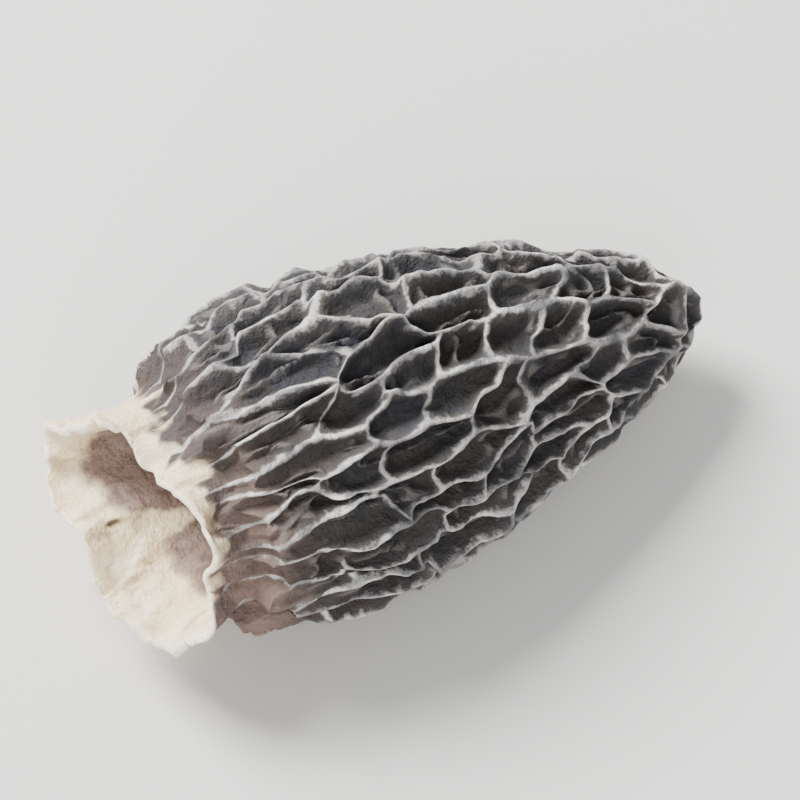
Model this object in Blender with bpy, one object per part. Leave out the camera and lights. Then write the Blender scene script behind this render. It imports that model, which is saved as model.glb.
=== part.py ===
"""Dried morel mushroom, lying on its side on a flat surface.

The fruit body is one closed solid: a cone-shaped cap with a raised net of ridges round sunken
pits, a short flattened stem stub with a cut end, and the one hollow that runs from the stem's
mouth up into the cap. Metres, +Z up. The tip points to +X and the cut stem to -X, and the origin
is on the surface, under the middle of the mushroom's box.

The net is drawn on a unit sphere first, where its cells are the Voronoi cells of a jittered
spiral of points. Each point of that sphere is then carried to the cap: its polar angle sets how
far down the profile it lies, and its turn about the axis stays.
"""

import math
import random

import bmesh
import bpy
import numpy as np
from mathutils import Vector

# Driving dimensions
CAP_LENGTH = 0.0375
CAP_WIDTH = 0.0236
STEM_LENGTH = 0.0054
STEM_WIDTH = 0.0178
STEM_HEIGHT = 0.0118
PIT_DEPTH = 0.0020
WALL = 0.0011
PRESSED_DEPTH = 0.0006

# Profile of the cap, an egg that is narrower at the tip, and its height over its width
PROFILE_END_DEG = 128.0
PROFILE_SPARE_DEG = 12.0
TAPER = 0.36
PROFILE_STEPS = 400
CAP_FLATNESS = 0.88
BASE_FLATNESS = 0.76

# The net on the unit sphere
NET_SEED = 7
CELLS_ON_SPHERE = 250
SEED_JITTER = 0.42
LEAST_SEED_GAP = 0.62
MARGIN_DEG = 112.0
TIP_CROWDING = 1.22
FLOOR_INSET = 0.25
LEAST_PIT, MOST_PIT = 0.74, 1.10
CROSS_RIDGE_DROP = 0.40
MARGIN_DROP = 0.55
MARGIN_UNEVENNESS = 0.35

# The stem narrows at its neck, and towards the cut its top and underside are pinched together
NECK_SHARE = 0.86
TOP_CREASE, TOP_CREASE_TURN_DEG = 0.55, 76.0
UNDER_CREASE, UNDER_CREASE_TURN_DEG = 0.45, 285.0
CREASE_SPREAD_DEG = 21.0
CUT_SLANT = 0.55
CUT_LONG_TURN_DEG = -65.0

# How the fruit body lies
ROLL_DEG = 3.0
PITCH_DEG = 4.0

# Rings of the stem, of its mouth and of the hollow
STEM_RINGS = 7
MOUTH_RINGS = 6
HOLLOW_RINGS = 9
HOLLOW_START = 0.0012
HOLLOW_END = 0.80

CAP_COLOUR = (0.045, 0.042, 0.043, 1.0)
STEM_COLOUR = (0.72, 0.62, 0.48, 1.0)


def unit(points):
    """The same directions with length 1."""
    return points / np.linalg.norm(points, axis=-1, keepdims=True)


def wave(points, along, phase):
    """A sine of the distance along one direction, between -1 and 1."""
    return np.sin(points @ np.array(along) + phase)


def smooth(share):
    """0 to 1 with a level start and end."""
    share = np.clip(share, 0, 1)
    return share * share * (3 - 2 * share)


def warp(net):
    """Slides points of the sphere sideways, in long and short waves, so that ridges meander."""
    slide = np.stack(
        [
            0.045 * wave(net, (2.1, 5.3, 3.7), 0.4) + 0.024 * wave(net, (15.0, -8.0, 9.0), 1.9),
            0.045 * wave(net, (4.6, -2.2, 4.9), 2.2) + 0.024 * wave(net, (-8.0, 14.0, 11.0), 0.7),
            0.040 * wave(net, (-3.9, 4.1, 2.3), 4.1) + 0.018 * wave(net, (11.0, 9.0, -13.0), 3.3),
        ],
        axis=-1,
    )
    return unit(net + slide)


def egg_profile():
    """Share of the arc from tip to margin, with the place along the axis and the radius there.

    x follows the cosine of an angle, and the radius its sine, less near the tip. The table runs
    a little past the margin, because the warp can carry a margin point that far.
    """
    end = math.radians(PROFILE_END_DEG)
    angle = np.linspace(0.0, end + math.radians(PROFILE_SPARE_DEG), PROFILE_STEPS)
    x = CAP_LENGTH * (np.cos(angle) - math.cos(end)) / (1 - math.cos(end))
    radius = np.sin(angle) * (1 - TAPER * np.cos(angle))
    radius *= CAP_WIDTH / 2 / radius.max()
    steps = np.hypot(np.diff(x), np.diff(radius))
    arc = np.concatenate([[0.0], np.cumsum(steps)])
    return arc / np.interp(end, angle, arc), x, radius


ARC, PROFILE_X, PROFILE_RADIUS = egg_profile()


def lobes(turn, x):
    """Share by which drying has pulled the round section in or left it out."""
    along = x / CAP_LENGTH
    return (
        1.0
        + 0.030 * np.cos(2 * turn + 0.1 - 0.5 * along)
        + 0.036 * np.cos(3 * turn + 1.15 + 1.2 * along)
        + 0.020 * np.cos(5 * turn - 0.8 + 4.5 * along)
    )


def flatness(x):
    """Height over width of the cap's section, which is pressed flatter at the base."""
    return CAP_FLATNESS + (BASE_FLATNESS - CAP_FLATNESS) * smooth(1 - x / (0.45 * CAP_LENGTH))


def axis_offset(x):
    """Sideways and upward place of the slightly bent axis."""
    along = x / CAP_LENGTH
    return 0.0012 * np.sin(2.4 * along + 0.3), 0.0006 * np.cos(2.0 * along)


def section(x, turn, half_width, half_height):
    """Points of an oval section square to the axis. The turn runs from +Y over +Z."""
    aside, up = axis_offset(x)
    return np.stack(
        [x, aside + half_width * np.cos(turn), up + half_height * np.sin(turn)], axis=-1
    )


def cap_section(x, turn, set_back=0.0):
    """A section of the cap's crest surface, or of one set back from it."""
    radius = np.interp(-x, -PROFILE_X, PROFILE_RADIUS) * lobes(turn, x)
    return section(x, turn, radius - set_back, radius * flatness(x) - set_back)


def cap_points(net):
    """Carries points of the sphere, with its +Z at the tip, to the crest surface of the cap."""
    polar = np.arccos(np.clip(net[:, 2], -1, 1))
    turn = np.arctan2(net[:, 1], net[:, 0])
    share = (polar / math.radians(MARGIN_DEG)) ** TIP_CROWDING
    return cap_section(np.interp(share, ARC, PROFILE_X), turn)


def sunk(points, share):
    """The points moved in from the crest surface, towards the cap's core line.

    The full depth is less where the cap narrows to its tip.
    """
    x = np.clip(points[:, 0], 0.0, 0.82 * CAP_LENGTH)
    aside, up = axis_offset(x)
    radius = np.interp(-points[:, 0], -PROFILE_X, PROFILE_RADIUS)
    depth = PIT_DEPTH * (0.5 + 0.5 * radius / PROFILE_RADIUS.max()) * share
    return points + unit(np.stack([x, aside, up], axis=-1) - points) * depth[:, None]


def surface_waves(net):
    """Share of the pit depth by which the whole surface dips here and there."""
    return 0.08 + 0.08 * wave(net, (11.0, 6.0, -8.0), 0.9) * wave(net, (-5.0, 9.0, 7.0), 2.0)


def spiral_seeds():
    """Points spread evenly over the sphere by the golden angle, then each moved a little.

    A move that would bring two of them too close is drawn again.
    """
    draw = random.Random(NET_SEED)
    golden = math.pi * (3 - math.sqrt(5))
    spacing = math.sqrt(4 * math.pi / CELLS_ON_SPHERE)
    seeds = []
    for k in range(CELLS_ON_SPHERE):
        z = 1 - (2 * k + 1) / CELLS_ON_SPHERE
        ring = math.sqrt(1 - z * z)
        even = Vector((ring * math.cos(golden * k), ring * math.sin(golden * k), z))
        moved = even
        for _ in range(40):
            shift = Vector([draw.uniform(-1, 1) for _ in range(3)]) * SEED_JITTER * spacing
            moved = (even + shift).normalized()
            if all((moved - other).length > LEAST_SEED_GAP * spacing for other in seeds):
                break
        seeds.append(moved)
    return seeds


def near_margin(point):
    """The point drawn most of the way up or down to the margin's circle."""
    margin_z = math.cos(math.radians(MARGIN_DEG))
    z = margin_z + (point.z - margin_z) * MARGIN_UNEVENNESS
    flat = Vector((point.x, point.y, 0)).normalized() * math.sqrt(1 - z * z)
    return Vector((flat.x, flat.y, z))


def ridge_drop(a, b):
    """Drop of a ridge's middle: most where a long ridge runs round the cap, none along it."""
    middle = ((a + b) / 2).normalized()
    around = Vector((0, 0, 1)).cross(middle).normalized()
    length = (b - a).length / math.sqrt(math.pi / CELLS_ON_SPHERE)
    return CROSS_RIDGE_DROP * (b - a).normalized().dot(around) ** 2 * min(1.0, length)


def cell_area(outline, centre):
    """Area of a cell over the usual area of one."""
    arms = [point - centre for _, point, _ in outline]
    twice = sum(a.cross(b).length for a, b in zip(arms, arms[1:] + arms[:1]))
    return twice / 2 / (4 * math.pi / CELLS_ON_SPHERE)


def net_cells():
    """The cells of the net, each as its centre, its pit's share of the full depth and its outline,
    and then the keys along the margin, in order.

    The hull of the seeds is their Delaunay mesh, and the normal of each of its triangles is a
    corner where three cells meet. The cells whose seeds lie above the margin are kept. An outline
    is a list of its corners, with a middle point on each ridge between two pits. Each entry is a
    key, which is the same in all the cells that share the point, the point itself and how far its
    crest drops: a corner at the margin drops where no ridge runs out to it.
    """
    draw = random.Random(NET_SEED + 1)
    hull = bmesh.new()
    verts = [hull.verts.new(seed) for seed in spiral_seeds()]
    bmesh.ops.convex_hull(hull, input=verts)
    hull.faces.index_update()
    hull.normal_update()
    margin_z = math.cos(math.radians(MARGIN_DEG))
    kept_around = {face.index: sum(v.co.z > margin_z for v in face.verts) for face in hull.faces}
    corners = {face.index: face.normal.normalized() for face in hull.faces}
    for index, kept in kept_around.items():
        if 0 < kept < 3:
            corners[index] = near_margin(corners[index])
    cells, after_on_margin = [], {}
    for vert in hull.verts:
        if vert.co.z <= margin_z:
            continue
        share = draw.uniform(LEAST_PIT, MOST_PIT)
        side = vert.co.orthogonal().normalized()
        other = vert.co.normalized().cross(side)
        around = sorted(
            vert.link_faces,
            key=lambda face: math.atan2(face.normal.dot(other), face.normal.dot(side)),
        )
        outline = []
        for face, following in zip(around, around[1:] + around[:1]):
            a, b = corners[face.index], corners[following.index]
            lone = kept_around[face.index] == 1
            outline.append((("corner", face.index), a, MARGIN_DROP * share if lone else 0.0))
            edge = next(e for e in face.edges if vert in e.verts and following in e.link_faces)
            if edge.other_vert(vert).co.z <= margin_z:
                after_on_margin["corner", face.index] = ("corner", following.index)
            else:
                middle = ("middle", tuple(sorted((face.index, following.index))))
                outline.append((middle, ((a + b) / 2).normalized(), ridge_drop(a, b)))
        centre = sum((point for _, point, _ in outline), Vector()).normalized()
        share *= min(1.0, 1.5 * cell_area(outline, centre))
        cells.append((centre, share, outline))
    hull.free()
    loop = [next(iter(after_on_margin))]
    while after_on_margin[loop[-1]] != loop[0]:
        loop.append(after_on_margin[loop[-1]])
    return cells, loop


def laid_down(points):
    """Turns points from the fruit body's own axis to how it lies, before it is lowered."""
    roll, pitch = math.radians(ROLL_DEG), math.radians(PITCH_DEG)
    x, y, z = points[:, 0], points[:, 1], points[:, 2]
    y, z = y * math.cos(roll) - z * math.sin(roll), y * math.sin(roll) + z * math.cos(roll)
    return np.stack(
        [x * math.cos(pitch) + z * math.sin(pitch), y, z * math.cos(pitch) - x * math.sin(pitch)],
        axis=-1,
    )


def bump_at(turn, centre_deg, spread_deg):
    """1 at one turn about the axis, falling off smoothly to both sides."""
    away = np.angle(np.exp(1j * (turn - math.radians(centre_deg))))
    return np.exp(-((away / math.radians(spread_deg)) ** 2))


def stem_section(x, turn, spread):
    """A section of the stem's outside. Spread is 0 at the neck and 1 at the cut."""
    size = NECK_SHARE + (1 - NECK_SHARE) * spread**1.5
    fold = 1 + (0.02 + 0.08 * spread) * (
        np.cos(3 * turn + 0.9) + 0.5 * np.cos(5 * turn + 2.4) + 0.4 * np.cos(8 * turn + 0.2)
    )
    crease = TOP_CREASE * spread * bump_at(turn, TOP_CREASE_TURN_DEG, CREASE_SPREAD_DEG)
    under = UNDER_CREASE * spread * bump_at(turn, UNDER_CREASE_TURN_DEG, CREASE_SPREAD_DEG)
    size = size * fold * (lobes(turn, 0.0) + (1 - lobes(turn, 0.0)) * spread)
    return section(x, turn, STEM_WIDTH / 2 * size, STEM_HEIGHT / 2 * size * (1 - crease - under))


def cut_x(turn):
    """Where the slanting, uneven cut through the stem lies along the axis."""
    slant = CUT_SLANT * np.cos(turn - math.radians(CUT_LONG_TURN_DEG))
    return -STEM_LENGTH * (1 + slant + 0.05 * np.cos(3 * turn + 0.5) + 0.03 * np.cos(7 * turn))


def thinned(ring, wall):
    """The ring moved in, about square to its own outline, by the thickness of a wall."""
    along = np.roll(ring, -4, axis=0) - np.roll(ring, 4, axis=0)
    outward = unit(np.stack([along[:, 2], -along[:, 1]], axis=-1))
    inner = ring.copy()
    inner[:, 1:] -= outward * wall
    return inner


def body_rings(margin_net, rim):
    """Rings from just inside the margin, down the stem, into its mouth and up the hollow."""
    warped = warp(margin_net)
    margin_turn = np.unwrap(np.arctan2(warped[:, 1], warped[:, 0]))
    count = len(margin_turn)
    even_turn = margin_turn.mean() + 2 * math.pi * (np.arange(count) - (count - 1) / 2) / count
    neck_turn = (margin_turn + even_turn) / 2
    neck_x = rim[:, 0] - 0.0009
    neck = stem_section(neck_x, neck_turn, 0.0)
    rings = [rim * 0.5 + neck * 0.5]
    for share in np.linspace(0, 1, STEM_RINGS):
        turn = neck_turn + (even_turn - neck_turn) * share
        rings.append(stem_section(neck_x * (1 - share) + cut_x(turn) * share, turn, share**1.3))
    for share in np.linspace(0, 1, MOUTH_RINGS):
        x = cut_x(even_turn) * (1 - share) + HOLLOW_START * share
        rings.append(thinned(stem_section(x, even_turn, (1 - share) ** 1.3), WALL))
    throat = rings[-1]
    for share in np.linspace(0, 1, HOLLOW_RINGS + 2)[1:-1]:
        x = np.full(count, HOLLOW_START + (HOLLOW_END * CAP_LENGTH - HOLLOW_START) * share)
        wide = cap_section(x, even_turn, PIT_DEPTH * (MOST_PIT + 0.08) + WALL)
        middle = section(x, even_turn, 0.0, 0.0)
        wide = middle + (wide - middle) * math.sqrt(1 - share**4)
        narrow = throat + np.stack([x - HOLLOW_START, 0 * x, 0 * x], axis=-1)
        blend = smooth(share / 0.25)
        rings.append(narrow * (1 - blend) + wide * blend)
    return rings


def fruit_body():
    """The closed mesh, laid down on z = 0: its vertices, its faces and how many are the cap's."""
    cells, loop = net_cells()
    named = {}
    for _, _, outline in cells:
        for key, point, drop in outline:
            named.setdefault(key, (len(named), point, drop))
    net = np.array([point for _, point, _ in named.values()])
    drops = np.array([drop for _, _, drop in named.values()])
    upright = sunk(cap_points(warp(net)), drops + surface_waves(net))
    crests = laid_down(upright)
    surface_z = crests[:, 2].min() + PRESSED_DEPTH

    floors, shares, faces = [], [], []
    for centre, depth_share, outline in cells:
        ring = [named[key][0] for key, _, _ in outline]
        if crests[ring, 2].mean() < surface_z + 0.0002:
            depth_share = 0.0
        start, count = len(net) + len(floors), len(outline)
        for _, point, _ in outline:
            floors.append(centre * FLOOR_INSET + point * (1 - FLOOR_INSET))
            shares.append(0.88 * depth_share)
        floors.append(centre)
        shares.append(depth_share)
        for k in range(count):
            after = (k + 1) % count
            faces.append((ring[k], ring[after], start + after, start + k))
            faces.append((start + k, start + after, start + count))
    cap_faces = len(faces)
    floor_net = unit(np.array(floors))
    shares = np.array(shares) + surface_waves(floor_net)
    bottoms = laid_down(sunk(cap_points(warp(floor_net)), shares))

    points = [crests, bottoms]
    total = len(crests) + len(bottoms)
    previous = [named[key][0] for key in loop]
    count = len(loop)
    for ring in body_rings(net[previous], upright[previous]):
        current = list(range(total, total + count))
        points.append(laid_down(ring))
        total += count
        for k in range(count):
            after = (k + 1) % count
            faces.append((previous[after], previous[k], current[k], current[after]))
        previous = current
    hollow_tip = section(np.array([HOLLOW_END * CAP_LENGTH]), np.zeros(1), 0.0, 0.0)
    points.append(laid_down(hollow_tip))
    faces += [(previous[(k + 1) % count], previous[k], total) for k in range(count)]

    points = np.concatenate(points)
    points[:, 2] = np.maximum(points[:, 2] - surface_z, 0.0)
    points[:, :2] -= (points[:, :2].min(axis=0) + points[:, :2].max(axis=0)) / 2
    return points, faces, cap_faces


def dried_skin(name, colour, roughness):
    """A matt material for dried flesh."""
    material = bpy.data.materials.new(name)
    material.use_nodes = True
    shader = material.node_tree.nodes["Principled BSDF"]
    shader.inputs["Base Color"].default_value = colour
    shader.inputs["Roughness"].default_value = roughness
    material.diffuse_color = colour
    return material


def main():
    for old in list(bpy.data.objects):
        bpy.data.objects.remove(old)
    points, faces, cap_faces = fruit_body()
    mesh = bpy.data.meshes.new("dried_morel")
    mesh.from_pydata(points.tolist(), [], faces)
    mesh.materials.append(dried_skin("dried cap", CAP_COLOUR, 0.8))
    mesh.materials.append(dried_skin("dried stem", STEM_COLOUR, 0.85))
    mesh.polygons.foreach_set("material_index", [int(k >= cap_faces) for k in range(len(faces))])
    morel = bpy.data.objects.new("dried_morel", mesh)
    bpy.context.scene.collection.objects.link(morel)


main()
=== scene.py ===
# %% [markdown]
# # A dried morel
#
# A morel dries into a light, hollow thing: a dark cap with a raised net of ridges round deep pits,
# and a short cream stem that was cut across, so its mouth shows the hollow inside. Cap and stem
# grew as one body, so the whole mushroom is one closed surface here, with one finish that changes
# over it.
#
# It could be sculpted with brushes, ridge by ridge. Here each part of it is a formula instead, so
# every ridge, wall and wrinkle has a size in millimetres that one number can change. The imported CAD
# model is loaded first, because it says where everything is.

import itertools
import math
import random

import bmesh
import bpy
import numpy as np
from mathutils import Matrix, Vector


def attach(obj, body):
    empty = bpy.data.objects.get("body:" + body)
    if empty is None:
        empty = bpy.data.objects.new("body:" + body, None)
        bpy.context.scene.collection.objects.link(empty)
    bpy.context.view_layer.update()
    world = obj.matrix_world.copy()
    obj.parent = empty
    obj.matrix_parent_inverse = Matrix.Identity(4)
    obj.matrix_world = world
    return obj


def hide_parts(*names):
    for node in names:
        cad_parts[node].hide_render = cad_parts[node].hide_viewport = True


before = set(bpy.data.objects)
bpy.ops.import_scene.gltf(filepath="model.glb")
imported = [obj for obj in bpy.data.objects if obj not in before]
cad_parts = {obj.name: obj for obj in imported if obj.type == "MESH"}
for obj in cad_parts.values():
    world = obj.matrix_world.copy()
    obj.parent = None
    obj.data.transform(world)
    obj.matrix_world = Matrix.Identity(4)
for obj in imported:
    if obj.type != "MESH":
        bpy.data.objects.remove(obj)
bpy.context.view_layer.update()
print("CAD nodes", list(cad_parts))

# %% [markdown]
# ## The body under the net
#
# The cap is an egg that is narrower at its tip, the stem is a flattened tube, and drying has pulled
# both a little out of round. A scaled sphere and a cylinder would be quick, but would meet in a
# seam. An oval that changes along one axis has none. These are the named values and formulas that
# the CAD solid is made from, so the finer surface lies on the same body. All lengths are in metres,
# and x runs from the cut stem to the tip.

# %% Sizes of the cap
MM = 0.001
CAP_LENGTH, CAP_WIDTH = 37.5 * MM, 23.6 * MM
# Height over width of a section, in most of the cap and at its base
CAP_FLATNESS, BASE_FLATNESS = 0.88, 0.76
print("cap", round(CAP_LENGTH / MM, 1), "mm long and", round(CAP_WIDTH / MM, 1), "mm wide")


# %% Directions and soft steps
def unit(points):
    """Each point divided by its distance from the origin."""
    return points / np.linalg.norm(points, axis=-1, keepdims=True)


def smooth(share):
    """3s² − 2s³, which goes from 0 to 1 with a level start and end."""
    share = np.clip(share, 0, 1)
    return share * share * (3 - 2 * share)


# %% The profile of the cap
# The profile's angle ends at 128 degrees, past the widest place, so the margin turns in
PROFILE_END = math.radians(128.0)
TAPER = 0.36


def egg_profile():
    """x goes as the cosine of an angle, the radius as its sine times 1 less 0.36 of its cosine.

    The angle goes on 12 degrees past the margin, for points that are moved there. Gives the arc's
    share from tip to margin, x, the radius and the arc's full length.
    """
    angle = np.linspace(0.0, PROFILE_END + math.radians(12.0), 400)
    x = CAP_LENGTH * (np.cos(angle) - math.cos(PROFILE_END)) / (1 - math.cos(PROFILE_END))
    radius = np.sin(angle) * (1 - TAPER * np.cos(angle))
    radius *= CAP_WIDTH / 2 / radius.max()
    arc = np.concatenate([[0.0], np.cumsum(np.hypot(np.diff(x), np.diff(radius)))])
    length = np.interp(PROFILE_END, angle, arc)
    return arc / length, x, radius, length


ARC, PROFILE_X, PROFILE_RADIUS, ARC_LENGTH = egg_profile()
print("arc from tip to margin", round(ARC_LENGTH / MM, 1), "mm")


# %% Sections of the body
def lobes(turn, x):
    """One plus three small cosines of 2, 3 and 5 times the turn, which drift along the cap."""
    along = x / CAP_LENGTH
    return (
        1.0
        + 0.030 * np.cos(2 * turn + 0.1 - 0.5 * along)
        + 0.036 * np.cos(3 * turn + 1.15 + 1.2 * along)
        + 0.020 * np.cos(5 * turn - 0.8 + 4.5 * along)
    )


def flatness(x):
    """Height over width of a section: 0.88, and 0.76 at the base of the cap."""
    return CAP_FLATNESS + (BASE_FLATNESS - CAP_FLATNESS) * smooth(1 - x / (0.45 * CAP_LENGTH))


def axis_offset(x):
    """How far the bent axis lies aside and up: a short piece of a sine and of a cosine."""
    along = x / CAP_LENGTH
    return 1.2 * MM * np.sin(2.4 * along + 0.3), 0.6 * MM * np.cos(2.0 * along)


# %% Ovals at any place
def section(x, turn, half_width, half_height):
    """An oval: the axis plus width times the cosine and height times the sine of the turn."""
    aside, up = axis_offset(x)
    y = aside + half_width * np.cos(turn)
    z = up + half_height * np.sin(turn)
    return np.stack([x + 0 * z, y, z], axis=-1)


def cap_section(x, turn, set_back=0.0):
    """The oval of the cap at x, with its radius from the profile, less a set-back."""
    radius = np.interp(-x, -PROFILE_X, PROFILE_RADIUS) * lobes(turn, x)
    return section(x, turn, radius - set_back, radius * flatness(x) - set_back)


oval = cap_section(CAP_LENGTH / 3, np.linspace(0, 2 * math.pi, 61))
print("a third of the way up it is", (np.ptp(oval[:, 1:], axis=0) / MM).round(1), "mm across")

# %% [markdown]
# ## Roughness of dried flesh
#
# Drying wrinkles everything. Sculpting by hand could do that, and so could a displacement texture,
# but a small function of position keeps it in numbers: random values on the corners of a lattice,
# blended smoothly in between. It is worked out for all points at once.


# %% Wrinkles as a function of position
def rough(points, size, seed):
    """Values between -1 and 1 on a lattice of this size, blended by 3s² − 2s³ along each axis.

    The lattice repeats after 32 steps, which is too far apart to be noticed.
    """
    table = np.random.default_rng(seed).uniform(-1, 1, (32, 32, 32))
    place = points / np.asarray(size)
    low = np.floor(place).astype(int)
    part = smooth(place - low)
    total = np.zeros(place.shape[:-1])
    for corner in itertools.product((0, 1), repeat=3):
        weight = np.prod(np.where(corner, part, 1 - part), axis=-1)
        i, j, k = np.moveaxis((low + corner) % 32, -1, 0)
        total += weight * table[i, j, k]
    return total


def rough_vectors(points, size, seed):
    """Three independent values as a vector."""
    return np.stack([rough(points, size, seed + k) for k in range(3)], axis=-1)


print("wrinkle test", round(float(rough(np.array([[0.3, 0.4, 0.5]]), 1.0, 1)[0]), 3))

# %% [markdown]
# ## The net of ridges
#
# The ridges of a morel meet three at a time and close round pits of uneven size, like soap films.
# That is a Voronoi net: every pit is the area nearest to its own seed. It is drawn on a unit sphere
# whose +Z is the tip, where 250 seeds are spread by the golden angle and then moved a little. The
# hull of the seeds gives the net directly, because the normal of each of its triangles points to a
# corner where three ridges meet. These are the CAD solid's own seeds, so each pit is in its place.

# %% Seeds of the pits
NET_SEED, CELLS_ON_SPHERE = 7, 250
# The net ends at the margin, 112 degrees from the tip
MARGIN = math.radians(112.0)
MARGIN_Z = math.cos(MARGIN)
GOLDEN = math.pi * (3 - math.sqrt(5))
SPACING = math.sqrt(4 * math.pi / CELLS_ON_SPHERE)
# In spacings: how far a seed may move along each axis, and how close two may come
MOVE, LEAST_GAP = 0.42, 0.62


def spiral_seeds():
    """Seed k is at height 1 − (2k + 1)/n and turn k golden angles, moved by up to 0.42 spacings."""
    draw, seeds = random.Random(NET_SEED), []
    for k in range(CELLS_ON_SPHERE):
        z = 1 - (2 * k + 1) / CELLS_ON_SPHERE
        ring = math.sqrt(1 - z * z)
        even = Vector((ring * math.cos(GOLDEN * k), ring * math.sin(GOLDEN * k), z))
        for _ in range(40):
            shift = Vector([draw.uniform(-1, 1) for _ in range(3)]) * MOVE * SPACING
            moved = (even + shift).normalized()
            if all((moved - other).length > LEAST_GAP * SPACING for other in seeds):
                break
        seeds.append(moved)
    return seeds


hull = bmesh.new()
bmesh.ops.convex_hull(hull, input=[hull.verts.new(seed) for seed in spiral_seeds()])
hull.faces.index_update()
hull.normal_update()
print("hull of", len(hull.verts), "seeds and", len(hull.faces), "triangles")

# %% Corners of the pits
# A corner at the margin keeps this share of its height over or under it, so the margin is even
DRAWN_IN = 0.35


def corners_of(hull):
    """The unit normals of the hull's triangles, with those at the margin drawn in to it."""
    corners = unit(np.array([face.normal for face in hull.faces], dtype=float))
    kept = np.array([sum(v.co.z > MARGIN_Z for v in face.verts) for face in hull.faces])
    drawn = (kept > 0) & (kept < 3)
    corners[drawn, 2] = MARGIN_Z + (corners[drawn, 2] - MARGIN_Z) * DRAWN_IN
    level = np.sqrt(1 - corners[drawn, 2] ** 2) / np.hypot(corners[drawn, 0], corners[drawn, 1])
    corners[drawn, :2] *= level[:, None]
    return corners


# %% Sides of the pits
# A pit's share of the full depth is drawn between these two
LEAST_SHARE, MOST_SHARE = 0.74, 1.10


def sides_of(hull):
    """Each pit's share of the full depth, and its sides: two corners, the pit, is it open.

    The corners of a pit are in order of their angle about its seed. A side is open where the next
    cell over it is past the margin.
    """
    draw, shares, sides = random.Random(NET_SEED + 1), [], []
    for vert in hull.verts:
        if vert.co.z <= MARGIN_Z:
            continue
        shares.append(draw.uniform(LEAST_SHARE, MOST_SHARE))
        right = vert.co.orthogonal().normalized()
        up = vert.co.normalized().cross(right)
        around = sorted(
            vert.link_faces,
            key=lambda face: math.atan2(face.normal.dot(up), face.normal.dot(right)),
        )
        for face, following in zip(around, around[1:] + around[:1]):
            edge = next(e for e in face.edges if vert in e.verts and following in e.link_faces)
            is_open = edge.other_vert(vert).co.z <= MARGIN_Z
            sides.append((face.index, following.index, len(shares) - 1, int(is_open)))
    return np.array(shares), np.array(sides)


corners = corners_of(hull)
pit_share, sides = sides_of(hull)
hull.free()
side_a, side_b = corners[sides[:, 0]], corners[sides[:, 1]]
side_pit, side_open = sides[:, 2], sides[:, 3].astype(bool)
print(len(pit_share), "pits with", len(sides), "sides,", side_open.sum(), "of them at the margin")


# %% Centres of the pits
def gathered(values, groups, count):
    """The sum of the values of each group."""
    total = np.zeros((count,) + values.shape[1:])
    np.add.at(total, groups, values)
    return total


PITS = len(pit_share)
side_middle = unit(side_a + side_b)
centres = unit(
    gathered(side_a, side_pit, PITS)
    + gathered(side_middle * ~side_open[:, None], side_pit, PITS)
)
side_area = np.linalg.norm(
    np.cross(side_a - centres[side_pit], side_b - centres[side_pit]), axis=1
)
pit_area = gathered(side_area, side_pit, PITS) / 2 / SPACING**2

# The full depth is 2 mm. A pit with under two thirds of the mean area gets less of it.
PIT_DEPTH = 2.0 * MM
pit_share = pit_share * np.minimum(1.0, 1.5 * pit_area)
print("pits are", (np.percentile(pit_share, [0, 100]) * PIT_DEPTH / MM).round(2), "mm deep")

# %% [markdown]
# ## A grid that follows the ridges
#
# A plain grid over the cap would cut across the ridges and leave their thin edges jagged. So each
# side of a pit gets its own little grid: one parameter runs along the ridge, and the other runs
# from the crest in to the middle of the pit. Each crest line is then a row of the mesh, and it can
# be as thin and sharp as the real one.

# %% Lengths on the cap
# The pits are smaller at the tip: the arc's share is the polar angle's share to this power
TIP_CROWDING = 1.22


def mm_per_radian(net):
    """Length on the cap of one radian of the sphere, round the cap and along it.

    Round it is the radius over the sine of the polar angle, and along it the slope of the arc,
    which goes with the polar angle to the power 1.22. Within 0.02 of the tip, its edge counts.
    """
    polar = np.arccos(np.clip(net[..., 2], -1, 1))
    share = np.maximum(polar, 0.02) / MARGIN
    x = np.interp(share**TIP_CROWDING, ARC, PROFILE_X)
    around = np.interp(-x, -PROFILE_X, PROFILE_RADIUS) / np.sin(np.maximum(polar, 0.02))
    along = ARC_LENGTH * TIP_CROWDING / MARGIN * share ** (TIP_CROWDING - 1)
    return around / MM, along / MM


def round_and_along(net):
    """Unit vectors round the sphere and along its meridian: the axis crossed with each point.

    The axis is tilted by a millionth, so that the tip has a direction too.
    """
    around = unit(np.cross(np.array([1e-6, 0, 1.0]), net))
    return around, np.cross(net, around)


# %% Steps along each side and in to the middle
# In mm along a crest, and as shares of the way from the middle out, closest where it is steepest
CREST_STEP = 0.28
IN_STEPS = np.array([1.0, 0.962, 0.915, 0.85, 0.77, 0.67, 0.55, 0.41, 0.25, 0.0])

middle_around, middle_along = round_and_along(side_middle)
scale_around, scale_along = mm_per_radian(side_middle)
side_run = side_b - side_a
side_length = np.hypot(
    (side_run * middle_around).sum(1) * scale_around, (side_run * middle_along).sum(1) * scale_along
)
steps = np.clip(np.round(side_length / CREST_STEP), 2, 16).astype(int)
spoke_side = np.repeat(np.arange(len(sides)), steps + 1)
first_spoke = np.concatenate([[0], np.cumsum(steps + 1)[:-1]])
spoke_place = (np.arange(len(spoke_side)) - first_spoke[spoke_side]) / steps[spoke_side]
print("ridges in all", round(side_length[~side_open].sum() / 2 / 1000, 2), "m")


# %% Points of the grids, on the sphere
def pit_grid():
    """On the side at t: a(1 − t) + bt, then from there to the pit's centre in the given steps."""
    t = spoke_place[:, None]
    crest = unit(side_a[spoke_side] * (1 - t) + side_b[spoke_side] * t)
    middle = centres[side_pit[spoke_side]]
    reach = IN_STEPS[None, :, None]
    return unit(middle[:, None] * (1 - reach) + crest[:, None] * reach)


grid = pit_grid()
grid_pit = side_pit[spoke_side]
print("grid of", grid.shape[0], "spokes and", grid.shape[1], "rings")

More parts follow.
